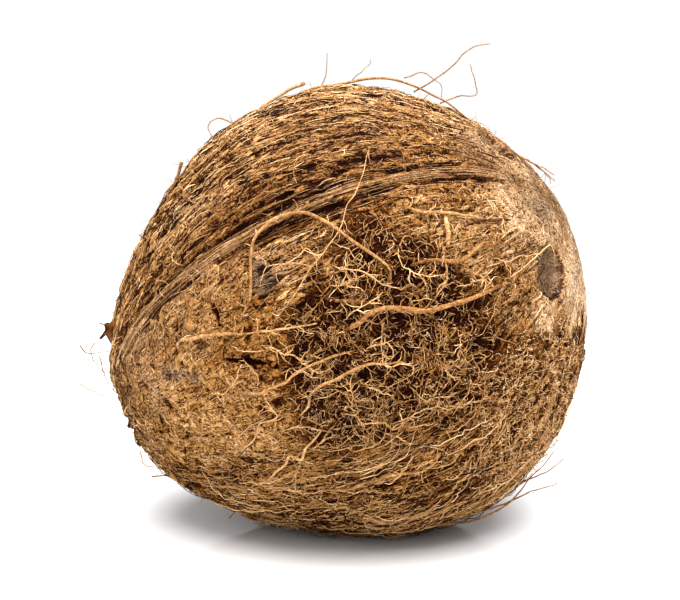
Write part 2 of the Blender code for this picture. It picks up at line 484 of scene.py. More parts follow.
def skin_material():
    """Torn coir pith: crumbly and matt, with thin dark edges of painted shade where flakes and layers end.
    """
    made, surface = dry_material("torn_coir_pith", 0.9)
    tree = made.node_tree
    value = {name: node(tree, "ShaderNodeAttribute", attribute_name=name).outputs["Fac"]
             for name in ("light", "grey", "ragged_and_eye_shadow", "crumbly", "rim", "gap")}
    streaked = node(tree, "ShaderNodeAttribute", attribute_name="grain").outputs["Vector"]
    here = node(tree, "ShaderNodeTexCoord").outputs["Object"]

    # Pith grains 0.5 mm wide, threads 0.4 mm wide, and steps where layers and flakes end, with a painted
    # shadow line at the foot of each
    grains = speckle(tree, here, 0.5 * MM, 3.0, 0.75)
    threads = speckle(tree, streaked, 0.4 * MM, 2.0)
    in_layers = speckle(tree, streaked, 2.4 * MM, 5.0)
    in_flakes = speckle(tree, here, 3.6 * MM, 5.0)
    crumbly = value["crumbly"]
    layered = maths(tree, "MULTIPLY_ADD", maths(tree, "SUBTRACT", in_flakes, in_layers), crumbly,
                    in_layers)
    level = maths(tree, "MULTIPLY", layered, 7.0)
    within = maths(tree, "FRACT", level)
    foot = between(tree, within, 0.0, 0.2, 1.0, 0.0)
    rough = maths(tree, "MULTIPLY_ADD", value["ragged_and_eye_shadow"], 0.6, 0.4)

    # Dark hollows, specks, and crevices along the fibres where it isn't crumbly: painted shade in these
    # hollows, which the bump also sinks
    dark = between(tree, speckle(tree, here, 0.8 * MM, 2.0), 0.09, 0.14, 0.0, 1.0)
    specks = between(tree, speckle(tree, here, 0.45 * MM, 1.0), 0.12, 0.17, 0.0, 1.0)
    thin = between(tree, speckle(tree, streaked, 0.9 * MM, 2.0), 0.08, 0.13, 0.0, 1.0)
    crevices = maths(tree, "MULTIPLY", thin, maths(tree, "MULTIPLY_ADD", crumbly, -0.8, 1.0))
    swing = maths(tree, "MULTIPLY_ADD", grains, 1.3, maths(tree, "MULTIPLY", threads, 1.1))
    swing = maths(tree, "MULTIPLY_ADD", crevices, -0.44, swing)
    # The foot of each step is painted darker: painted shade under the ledge above it
    swing = maths(tree, "MULTIPLY_ADD", foot, -0.42, swing)

    # Worn tops are nearly as light as each other, and the gaps between them are painted darker still:
    # painted shade
    raised = maths(tree, "MULTIPLY", maths(tree, "MAXIMUM", swing, 0.0), 0.7)
    swing = maths(tree, "MULTIPLY_ADD", maths(tree, "MINIMUM", swing, 0.0), 1.15, raised)
    tone = maths(tree, "MULTIPLY_ADD", swing, rough, value["light"])
    tone = maths(tree, "MULTIPLY_ADD", maths(tree, "MULTIPLY", dark, rough), -0.45, tone)
    tone = maths(tree, "MULTIPLY_ADD", maths(tree, "MULTIPLY", specks, rough), -0.40, tone)

    # The eyes are grey, with a painted shadow line at the foot of their wall, and the gaps are dark
    from_foot = maths(tree, "ABSOLUTE", maths(tree, "SUBTRACT", value["rim"], 0.94))
    foot_of_eye = between(tree, from_foot, 0.03, 0.07, 1.0, 0.0)
    in_eye = between(tree, value["rim"], 0.93, 1.0, 0.95, 0.0)
    # The painted shadow line at the foot of each eye's wall
    line = maths(tree, "MULTIPLY", foot_of_eye, value["ragged_and_eye_shadow"])
    tone = maths(tree, "MULTIPLY_ADD", line, -0.9, tone)
    ragged_gap = maths(tree, "MULTIPLY_ADD", grains, 0.4, value["gap"])
    gap = between(tree, ragged_gap, 0.40, 0.55, 0.0, 1.0)
    tone = maths(tree, "MULTIPLY_ADD", gap, -0.62, tone)
    colour_by(tree, surface, tone, maths(tree, "MAXIMUM", value["grey"], in_eye))

    stepped = maths(tree, "SUBTRACT", level, maths(tree, "POWER", within, 3.0))
    fine = maths(tree, "MULTIPLY_ADD", grains, 1.0, threads)
    relief = maths(tree, "MULTIPLY_ADD", stepped, 0.22, fine)
    relief = maths(tree, "MULTIPLY", relief, rough)
    relief = maths(tree, "MULTIPLY_ADD", maths(tree, "ADD", dark, crevices), -0.5, relief)
    relief = maths(tree, "MULTIPLY_ADD", specks, -0.3, relief)
    roughen(tree, surface, relief, 0.7 * MM)
    return made


def attribute(mesh, name, values):
    """Keeps a number, or a vector, at each of the mesh's points for its material to read."""
    kind, slot = ("FLOAT_VECTOR", "vector") if values.ndim == 2 else ("FLOAT", "value")
    layer = mesh.attributes.new(name, kind, "POINT")
    layer.data.foreach_set(slot, values.astype(np.float32).ravel())


bpy.ops.object.select_all(action="DESELECT")
bpy.ops.mesh.primitive_cube_add(size=2.0)
skin_piece = bpy.context.object
skin_piece.name = "husk_skin"
bpy.ops.object.mode_set(mode="EDIT")
bpy.ops.mesh.subdivide(number_cuts=SKIN_CUTS)
bpy.ops.object.mode_set(mode="OBJECT")
corners = np.empty(len(skin_piece.data.vertices) * 3)
skin_piece.data.vertices.foreach_get("co", corners)
skin_towards = unit(np.tan(corners.reshape(-1, 3) * math.pi / 4.0))
MIDDLE = stand_of(skin_towards)
skin_height, *skin_looks = skin(skin_towards)
skin_radius = nut_radius(skin_towards) - SKIN_DEPTH + skin_height
skin_piece.data.vertices.foreach_set("co", placed(skin_towards, skin_radius).ravel())
for name, values in zip(("light", "grey", "ragged_and_eye_shadow", "rim", "gap"), skin_looks):
    attribute(skin_piece.data, name, values)
attribute(skin_piece.data, "crumbly", np.clip(sum(regions(skin_towards)), 0.0, 1.0))
attribute(skin_piece.data, "grain", grain(skin_towards, 6.0))
skin_piece.data.materials.append(skin_material())
skin_piece.data.shade_smooth()
skin_piece.data.update()
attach(skin_piece, "root")
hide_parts("coconut")


# --- Flakes ---------------------------------------------------------------------------------
# Crumbly scales of pith, mostly 1 to 6 mm long, that broke as the husk was torn off. Each is
# still stuck down on one side: broad on the pith, and slivers along the torn layers.

FLAKE_DRAWS = np.random.default_rng(77)
FLAKE_CORNERS = 7


def meridians(towards):
    """Unit vectors along the surface: towards the tip, and around the axis."""
    sideways = unit(np.cross(np.array((0.0, 0.0, 1.0)), towards) + 1e-9)
    return np.cross(sideways, towards), sideways


def scattered(draws, count, share):
    """Up to count random places, kept where share is high, and the kinds of surface there."""
    tries = unit(draws.normal(size=(count * 5, 3)))
    kinds = regions(tries)
    kept = np.flatnonzero(draws.random(len(tries)) < share(*kinds) - 1.5 * torn_open(tries))[:count]
    return tries[kept], [kind[kept] for kind in kinds]


def solid(name, points, faces, unwrap, light, grey, material):
    """One piece from its points, its faces (arrays, each with one number of corners) and its UVs."""
    corners = np.concatenate([part.ravel() for part in faces])
    totals = np.concatenate([np.full(len(part), part.shape[1]) for part in faces])
    mesh = bpy.data.meshes.new(name)
    mesh.vertices.add(len(points))
    mesh.vertices.foreach_set("co", points.astype(np.float32).ravel())
    mesh.loops.add(len(corners))
    mesh.loops.foreach_set("vertex_index", corners.astype(np.int32))
    mesh.polygons.add(len(totals))
    mesh.polygons.foreach_set("loop_start", (np.cumsum(totals) - totals).astype(np.int32))
    mesh.update(calc_edges=True)
    mesh.uv_layers.new(name="OFBake").uv.foreach_set("vector", unwrap.astype(np.float32).ravel())
    attribute(mesh, "light", np.clip(light, 0.0, 1.0))
    attribute(mesh, "grey", np.clip(grey, 0.0, 1.0))
    mesh.materials.append(material)
    piece = bpy.data.objects.new(name, mesh)
    bpy.context.scene.collection.objects.link(piece)
    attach(piece, "root")
    return piece


def light_and_grey(tree):
    """How light and how grey each fibre or flake is, as it carries them."""
    return [node(tree, "ShaderNodeAttribute", attribute_name=name).outputs["Fac"]
            for name in ("light", "grey")]


def flake_material():
    """Pith again, in scales: matt, cork-like, with grains 0.6 mm wide."""
    made, surface = dry_material("pith_flake", 0.9)
    tree = made.node_tree
    light, grey = light_and_grey(tree)
    here = node(tree, "ShaderNodeTexCoord").outputs["Object"]
    grains = speckle(tree, here, 0.6 * MM, 3.0, 0.7)
    colour_by(tree, surface, maths(tree, "MULTIPLY_ADD", grains, 1.0, light), grey)
    roughen(tree, surface, grains, 0.5 * MM)
    return made


def flake_unwrap(many):
    """Each flake's own square of the unit square: its top as a fan, its edge, its underside."""
    side = np.arange(FLAKE_CORNERS)
    turn = side * 2.0 * math.pi / FLAKE_CORNERS
    spoke = np.stack((np.cos(turn), np.sin(turn)), -1)
    after = (side + 1) % FLAKE_CORNERS
    fan = np.stack((0.0 * spoke, spoke, spoke[after]), 1) * 0.26 + (0.32, 0.32)
    low, high, foot = side / FLAKE_CORNERS, (side + 1.0) / FLAKE_CORNERS, 0.0 * side
    strip = np.stack((low, foot, high, foot, high, foot + 1.0, low, foot + 1.0), -1)
    strip = strip.reshape(-1, 4, 2) * (0.9, 0.25) + (0.05, 0.68)
    disc = spoke[None, ::-1] * 0.14 + (0.80, 0.30)
    cells = math.ceil(math.sqrt(many))
    index = np.arange(many)
    cell = np.stack((index % cells, index // cells), -1)[:, None, None]
    return np.concatenate([(cell + part).reshape(-1, 2) for part in (fan, strip, disc)]) / cells


def flake_faces(many):
    """The faces of many flakes. Each has a ring of corners on top, one under it, and a middle."""
    side = np.arange(FLAKE_CORNERS)
    after = (side + 1) % FLAKE_CORNERS
    base = (np.arange(many) * (2 * FLAKE_CORNERS + 1))[:, None]
    below = base + FLAKE_CORNERS
    middle = base + 2 * FLAKE_CORNERS + 0 * side
    top = np.stack((middle, base + side, base + after), -1).reshape(-1, 3)
    edge = np.stack((below + side, below + after, base + after, base + side), -1).reshape(-1, 4)
    return top, edge, below + side[::-1]


def flakes(name, middles, lengths, slimness, tilt, paler, turn):
    """Scales with a domed top, a thin edge and one side lifted, as one piece of many."""
    many, sides = len(middles), FLAKE_CORNERS
    height, tone, grey = skin(middles)[:3]
    tipward, sideways = meridians(middles)
    turn = FLAKE_DRAWS.normal(0.0, turn, many)[:, None]
    length = FLAKE_DRAWS.uniform(*lengths, many)[:, None] * MM / 2.0
    long_way = np.cos(turn) * tipward + np.sin(turn) * sideways
    wide_way = np.cos(turn) * sideways - np.sin(turn) * tipward
    corner = np.arange(sides) + FLAKE_DRAWS.uniform(-0.3, 0.3, (many, sides))
    corner = corner * 2.0 * math.pi / sides
    reach = FLAKE_DRAWS.uniform(0.6, 1.15, (many, sides)) * length
    x, y = np.cos(corner) * reach, np.sin(corner) * reach * slimness
    lean = FLAKE_DRAWS.uniform(0.3, 1.0, many)[:, None] * tilt
    toward = FLAKE_DRAWS.uniform(0.0, 2.0 * math.pi, many)[:, None]
    rise = lean * MM * (np.cos(corner - toward) + 0.25) * (0.5 + 0.5 * slimness)
    rise += FLAKE_DRAWS.normal(0.0, 0.10, (many, sides)) * MM
    thick = FLAKE_DRAWS.uniform(0.20, 0.45, many)[:, None] * MM

    # The ring on top, a slightly smaller one under it, and the middle of the dome
    x = np.concatenate((x, 0.85 * x, 0.0 * x[:, :1]), 1)
    y = np.concatenate((y, 0.85 * y, 0.0 * y[:, :1]), 1)
    z = np.concatenate((rise, rise - thick, 0.22 * lean * MM + 0.1 * MM), 1)
    offset = x[..., None] * long_way[:, None] + y[..., None] * wide_way[:, None]
    towards = unit(middles[:, None] + offset / WAIST_RADIUS)
    radius = (nut_radius(middles) - SKIN_DEPTH + height)[:, None] + z
    points = placed(towards.reshape(-1, 3), radius.ravel())
    own = tone[:, None] + FLAKE_DRAWS.normal(paler, 0.035, (many, 1))
    # The ring under each flake is painted darker: painted shade under its lifted edge
    light = np.concatenate((own + 0.0 * rise, own - 0.35 + 0.0 * rise, own), 1)
    solid(name, points, flake_faces(many), flake_unwrap(many), light.ravel(),
          np.repeat(grey, 2 * sides + 1), PITH_FLAKE)


PITH_FLAKE = flake_material()


def broad_share(pith, mat, bare, stubble, felt, band):
    share = 0.70 * pith + 0.25 * mat + 0.15 * stubble + 0.12 * felt + 0.08 * (1.0 - bare)
    return share * (1.0 - band)


def sliver_share(pith, mat, bare, stubble, felt, band):
    share = 0.85 - 0.55 * pith - 0.6 * mat - 0.9 * bare - 0.6 * stubble - 0.2 * felt
    return share * (1.0 - 0.8 * band)


# Big ones, standing up where the husk tore, and darker scraps at the tip
BIG_FLAKES = ((133, 66), (141, 84), (146, 88), (118, 68), (114, 78), (108, 84), (121, 93), (152, 60),
              (137, 104), (103, 70), (98, 82), (112, 96), (128, 112), (149, 104), (124, 58), (116, 62),
              (87, 330), (120, 295), (133, 240), (141, 200), (110, 215), (96, 180), (125, 175))
TIP_SCRAPS = ((154, 28), (152, 30), (156, 26))

# After the name and the places: lengths in mm, slimness, tilt in mm, how much paler, and how far
# they turn from the way the layers run
broad = scattered(FLAKE_DRAWS, 1150, broad_share)[0]
flakes("broad_flakes", broad, (1.0, 4.0), 0.55, 0.24, 0.0, 0.9)
slivers = scattered(FLAKE_DRAWS, 4500, sliver_share)[0]
flakes("sliver_flakes", slivers, (1.0, 5.0), 0.28, 0.32, 0.03, 0.3)
flakes("big_flakes", direction(*np.array(BIG_FLAKES, float).T), (3.0, 6.0), 0.75, 1.4, -0.06, 1.2)
flakes("tip_scraps", direction(*np.array(TIP_SCRAPS, float).T), (9.0, 12.0), 0.55, 5.0, -0.26, 0.4)


# --- Scraps of coir -------------------------------------------------------------------------
# The real fibres are coir: stiff, kinked, about 0.1 to 0.4 mm thick, still rooted in the skin.
# These are the short ends that broke off: sparse on the pith, tangled in the mat and combed
# beside it. Off the mat and stubble about half are dark: they are painted shade, standing for
# the slits between the others.

FIBRE_DRAWS = np.random.default_rng(2024)


def wander_over(starts, headings, lengths, count, curl, kink=0.0):
    """Unit vectors along lines over the nut: count points a line, turning by curl a mm and
    by a sudden kink, in radians, at each point."""
    at, heading = starts.copy(), headings.copy()
    bend = FIBRE_DRAWS.normal(size=len(at))
    stride = lengths / (count - 1)
    lines = np.empty((len(at), count, 3))
    for k in range(count):
        lines[:, k] = at
        tipward, sideways = meridians(at)
        move = np.cos(heading)[:, None] * tipward + np.sin(heading)[:, None] * sideways
        at = unit(at + move * (stride / WAIST_RADIUS)[:, None])
        bend = 0.65 * bend + 0.75 * FIBRE_DRAWS.normal(size=len(at))
        heading = heading + curl * bend * stride / MM + kink * FIBRE_DRAWS.normal(size=len(at))
    return lines


def over_skin(lines, lift):
    """World places for these lines, lifted off the skin by lift metres."""
    flat = lines.reshape(-1, 3)
    radius = nut_radius(flat) - SKIN_DEPTH + skin(flat)[0] + lift.ravel()
    return placed(flat, radius, 0.15 * MM).reshape(lines.shape)


def unwrapped(tube_count, count, sides):
    """A strip of its own on the unit square for each tube, as the corners of its faces."""
    cells = math.ceil(math.sqrt(tube_count))
    index = np.arange(tube_count)
    corner = np.stack((index % cells, index // cells), -1)[:, None, None, None, :]
    row, side = np.meshgrid(np.arange(count - 1), np.arange(sides), indexing="ij")
    u = np.stack((side, side + 1, side + 1, side), -1) / sides
    v = np.stack((row, row, row + 1, row + 1), -1) / (count - 1) * 0.8
    strips = corner + 0.05 + 0.9 * np.stack((u, v), -1)[None]
    turn = np.arange(sides) * 2.0 * math.pi / sides
    cap = 0.06 * np.stack((np.cos(turn), np.sin(turn)), -1)
    corner = corner[:, 0, 0]
    first = corner + np.array((0.25, 0.88)) + cap[::-1]
    last = corner + np.array((0.75, 0.88)) + cap
    return np.concatenate([part.reshape(-1, 2) for part in (strips, first, last)]) / cells


def tubes(name, paths, thickness, light, grey, sides=3):
    """One piece of closed tubes along paths, (tubes, points, 3), with a radius at each point."""
    tube_count, count = paths.shape[:2]
    ahead = unit(np.gradient(paths, axis=1) + 1e-12)
    across = unit(np.cross(ahead, unit(paths - MIDDLE)) + 1e-9)
    out = np.cross(across, ahead)
    turn = np.arange(sides) * 2.0 * math.pi / sides + math.pi / 2.0
    ring = across[:, :, None] * np.cos(turn)[:, None] + out[:, :, None] * np.sin(turn)[:, None]
    points = paths[:, :, None] + ring * thickness[:, :, None, None]
    base = (np.arange(tube_count) * count * sides)[:, None, None]
    row = (np.arange(count - 1) * sides)[None, :, None]
    side = np.arange(sides)[None, None, :]
    after = (side + 1) % sides
    quads = np.stack((base + row + side, base + row + after,
                      base + row + sides + after, base + row + sides + side), -1).reshape(-1, 4)
    first = (base[:, 0] + np.arange(sides)[::-1]).reshape(-1, sides)
    last = (base[:, 0] + (count - 1) * sides + np.arange(sides)).reshape(-1, sides)
    grey = np.broadcast_to(grey[:, None], light.shape)
    piece = solid(name, points.reshape(-1, 3), (quads, first, last),
                  unwrapped(tube_count, count, sides), np.repeat(light.ravel(), sides),
                  np.repeat(grey.ravel(), sides), COIR)
    piece.data.shade_smooth()


def fibre_material():
    """Coir: dry and woody, a little less matt than pith. Each fibre carries its own lightness."""
    made, surface = dry_material("coir_fibre", 0.7)
    tree = made.node_tree
    light, grey = light_and_grey(tree)
    here = node(tree, "ShaderNodeTexCoord").outputs["Object"]
    # Scars and scales 0.7 mm across, and finer pores
    tone = maths(tree, "MULTIPLY_ADD", speckle(tree, here, 0.7 * MM, 2.0), 0.7, light)
    tone = maths(tree, "MULTIPLY_ADD", speckle(tree, here, 0.25 * MM, 1.0), 0.5, tone)
    colour_by(tree, surface, tone, grey)
    return made


COIR = fibre_material()


def tapered(widths, count, tip=0.35):
    """A radius at each of count points, thinning to this share of the width at the tip."""
    along = np.linspace(0.0, 1.0, count)
    return widths[:, None] * (1.0 - (1.0 - tip) * along**2)[None, :]


def scrap_share(pith, mat, bare, stubble, felt, band):
    share = 0.26 + 0.70 * mat + 0.70 * stubble - 0.22 * pith - 0.10 * bare + 0.34 * felt
    return share * (1.0 - 0.9 * band)


for part in range(4):
    scraps, (pith, mat, bare, stubble, felt, _) = scattered(FIBRE_DRAWS, 7600, scrap_share)
    many, count = len(scraps), 5
    heading = FIBRE_DRAWS.normal(0.0, 0.40 + 1.6 * (mat + pith + bare + felt), many)
    heading += math.pi * (FIBRE_DRAWS.random(many) < 0.5)
    length = FIBRE_DRAWS.uniform(1.0, 4.2, many) * MM
    length *= 1.0 - 0.5 * bare - 0.5 * felt - 0.3 * (mat + stubble)
    lines = wander_over(scraps, heading, length, count, 0.25, 0.32 + 0.4 * (mat + felt))
    stand = 0.35 + 0.75 * mat + 0.55 * stubble - 0.25 * bare
    lift = (FIBRE_DRAWS.uniform(-0.2, 1.0, (many, count)) * stand[:, None]) * MM
    lift[:, 0] = -0.15 * MM
    skin_tone, skin_grey = skin(scraps)[1:3]
    pale = FIBRE_DRAWS.random(many) < 0.30 + 0.42 * stubble
    matted = np.where(pale, FIBRE_DRAWS.normal(0.80, 0.12, many),
                      FIBRE_DRAWS.normal(0.20, 0.12, many))
    # Dark ones are painted shade for the slits between fibres, kept low on the skin
    gap = FIBRE_DRAWS.random(many) < 0.54
    plain = skin_tone + np.where(gap, -0.52, FIBRE_DRAWS.normal(0.10, 0.08, many))
    own = np.where(FIBRE_DRAWS.random(many) < mat + stubble, matted, plain)
    lift = np.where(gap & (mat + stubble < 0.5), 0.3, 1.0)[:, None] * lift
    light = own[:, None] + 0.12 * np.linspace(-1.0, 1.0, count)
    widths = tapered(FIBRE_DRAWS.uniform(0.07, 0.13, many) * (1.0 - 0.3 * bare) * MM, count, 0.5)
    grey = np.clip(skin_grey * (1.0 - mat) + FIBRE_DRAWS.normal(0.0, 0.08, many), 0.0, 1.0)
    tubes(f"scraps_{part + 1}", over_skin(lines, lift), widths, light, grey)


# --- Streaks --------------------------------------------------------------------------------
# Straight fibres that lie along the torn layers, up to 10 mm of each showing. Nearly half are
# dark: painted shade, standing for the slits between the others.

def streak_share(pith, mat, bare, stubble, felt, band):
    share = 0.9 - 0.80 * pith - 0.8 * mat - 0.9 * bare - 0.2 * stubble - 0.5 * felt
    return share * (1.0 - 0.6 * band)


for part in range(2):
    streaks, (pith, *_) = scattered(FIBRE_DRAWS, 4200, streak_share)
    many, count = len(streaks), 6
    heading = FIBRE_DRAWS.normal(0.0, 0.10, many) + math.pi * (FIBRE_DRAWS.random(many) < 0.5)
    length = FIBRE_DRAWS.uniform(2.0, 10.0, many) * (1.0 - 0.5 * pith) * MM
    lines = wander_over(streaks, heading, length, count, 0.03, 0.05)
    peak = FIBRE_DRAWS.uniform(0.0, 0.45, (many, 1)) * MM
    lift = peak * np.sin(np.linspace(0.0, 1.0, count) * math.pi) ** 0.7
    skin_tone, skin_grey = skin(streaks)[1:3]
    own = skin_tone + FIBRE_DRAWS.normal(0.10, 0.10, many)
    # Painted shade: the dark ones stand for the slits between the others
    own = np.where(FIBRE_DRAWS.random(many) < 0.46, 0.04, own)
    light = own[:, None] + np.zeros(count)
    widths = tapered(FIBRE_DRAWS.uniform(0.07, 0.18, many) * MM, count)
    tubes(f"streaks_{part + 1}", over_skin(lines, lift), widths, light, skin_grey)


# --- Suture fibres --------------------------------------------------------------------------
# Long straight fibres that run along the three sutures. About a fifth are dark: painted shade,
# standing for the gaps between the others.

many, count = 900, 14
start = FIBRE_DRAWS.uniform(32.0, 150.0, many)
span = np.linspace(0.0, 1.0, count) * FIBRE_DRAWS.uniform(6.0, 22.0, (many, 1))
polar = np.clip(start[:, None] + span, 30.0, 155.0)
aside = FIBRE_DRAWS.normal(0.0, 0.45 * BAND_WIDTH, (many, 1))
aside = np.degrees(aside / WAIST_RADIUS) / np.sin(np.radians(polar))
suture = 120.0 * FIBRE_DRAWS.integers(0, 3, (many, 1))
lines = direction(polar, suture_angle(polar) + aside + suture)
own = FIBRE_DRAWS.normal(0.68, 0.08, (many, 1))
# Painted shade: the dark ones stand for the gaps between the others
own = np.where(FIBRE_DRAWS.random((many, 1)) < 0.22, 0.15, own)
lift = FIBRE_DRAWS.uniform(0.0, 0.2, (many, 1)) * MM + np.zeros(count)
widths = tapered(FIBRE_DRAWS.uniform(0.06, 0.12, many) * MM, count)
tubes("suture_fibres", over_skin(lines, lift), widths, own + np.zeros(count),
      FIBRE_DRAWS.uniform(0.1, 0.6, many))


# --- Rootlets -------------------------------------------------------------------------------
# Longer kinked fibres that branch like roots, crowded over the mat, fewer on the stubble and
# sparse elsewhere.

def shoots(lines, lift, many, lengths, count, kink):
    """Side branches off these lines: their own lines, and their own lifts."""
    parent = FIBRE_DRAWS.integers(0, len(lines), many)
    joint = FIBRE_DRAWS.integers(1, lines.shape[1] - 1, many)
    starts = lines[parent, joint]
    ahead = lines[parent, joint + 1] - starts
    tipward, sideways = meridians(starts)
    heading = np.arctan2((ahead * sideways).sum(1), (ahead * tipward).sum(1))
    heading += FIBRE_DRAWS.choice((-1.0, 1.0), many) * FIBRE_DRAWS.uniform(0.4, 1.2, many)
    made = wander_over(starts, heading, lengths, count, 0.2, kink)
    fall = np.linspace(0.0, 1.0, count)
    rise = FIBRE_DRAWS.uniform(-1.0, 0.6, (many, 1)) * MM
    return made, lift[parent, joint][:, None] + rise * fall


def rootlet_share(pith, mat, bare, stubble, felt, band):
    return 0.07 + 0.85 * mat + 0.15 * stubble - 0.045 * pith - 0.1 * bare - 0.07 * band


rootlets = scattered(FIBRE_DRAWS, 1500, rootlet_share)[0]
many, count = len(rootlets), 12
height = FIBRE_DRAWS.random(many)
lines = wander_over(rootlets, FIBRE_DRAWS.uniform(0.0, 2.0 * math.pi, many),
                    FIBRE_DRAWS.uniform(3.0, 11.0, many) * MM, count, 0.14, 0.30)
along = np.linspace(0.0, 1.0, count)
lift = np.sin(along * math.pi) ** 0.6 * (0.3 + 1.3 * height)[:, None]
lift = (lift + FIBRE_DRAWS.normal(0.0, 0.12, (many, count))) * MM
# Rootlets that stand higher are painted paler, and each is painted darker near its root: painted light and
# shade by height
light = (0.45 + 0.32 * height + FIBRE_DRAWS.normal(0.0, 0.10, many))[:, None]
light = light - 0.15 * (1.0 - along) ** 2
widths = tapered(FIBRE_DRAWS.uniform(0.08, 0.16, many) * MM, count)
tubes("rootlets", over_skin(lines, lift), widths, light, FIBRE_DRAWS.uniform(0.0, 0.15, many))
many, count = 4100, 5
length = FIBRE_DRAWS.uniform(1.2, 4.0, many) * MM
branches, branch_lift = shoots(lines, lift, many, length, count, 0.45)
light = FIBRE_DRAWS.normal(0.67, 0.16, (many, 1)) + np.zeros(count)
widths = tapered(FIBRE_DRAWS.uniform(0.06, 0.11, many) * MM, count)
tubes("rootlet_branches", over_skin(branches, branch_lift), widths, light,
      FIBRE_DRAWS.uniform(0.0, 0.15, many))


# --- Trailing hairs -------------------------------------------------------------------------
# Long thin hairs, 7 to 24 mm, that trail along the lower side. Three in ten are dark: painted shade for
# the gaps between the others.

many, count = 760, 16
polar = FIBRE_DRAWS.uniform(58.0, 138.0, many)
start = direction(polar, FIBRE_DRAWS.uniform(104.0, 240.0, many))
heading = FIBRE_DRAWS.normal(0.0, 0.35, many) + math.pi * (FIBRE_DRAWS.random(many) < 0.5)
length = FIBRE_DRAWS.uniform(7.0, 24.0, many) * MM
lines = wander_over(start, heading, length, count, 0.05, 0.16)
bow = np.sin(np.linspace(0.0, 1.0, count) * math.pi) ** 0.6
lift = FIBRE_DRAWS.uniform(0.3, 1.6, (many, 1)) * bow
lift = (lift + FIBRE_DRAWS.normal(0.0, 0.1, (many, count))) * MM
light = FIBRE_DRAWS.normal(0.74, 0.10, (many, 1))
# Painted shade: the dark ones stand for the gaps between the others
light = np.where(FIBRE_DRAWS.random((many, 1)) < 0.3, 0.08, light) + np.zeros(count)
widths = tapered(FIBRE_DRAWS.uniform(0.08, 0.17, many) * MM, count)
tubes("trailing_hairs", over_skin(lines, lift), widths, light, FIBRE_DRAWS.uniform(0.0, 0.15, many))


# --- Long strands ---------------------------------------------------------------------------
# Strands of coir, the thickest almost a millimetre and a half across, that pulled loose and
# lie like roots over the mat and round it. Each route is a few places on the nut: degrees from
# the end with the eyes, then degrees about the axis.

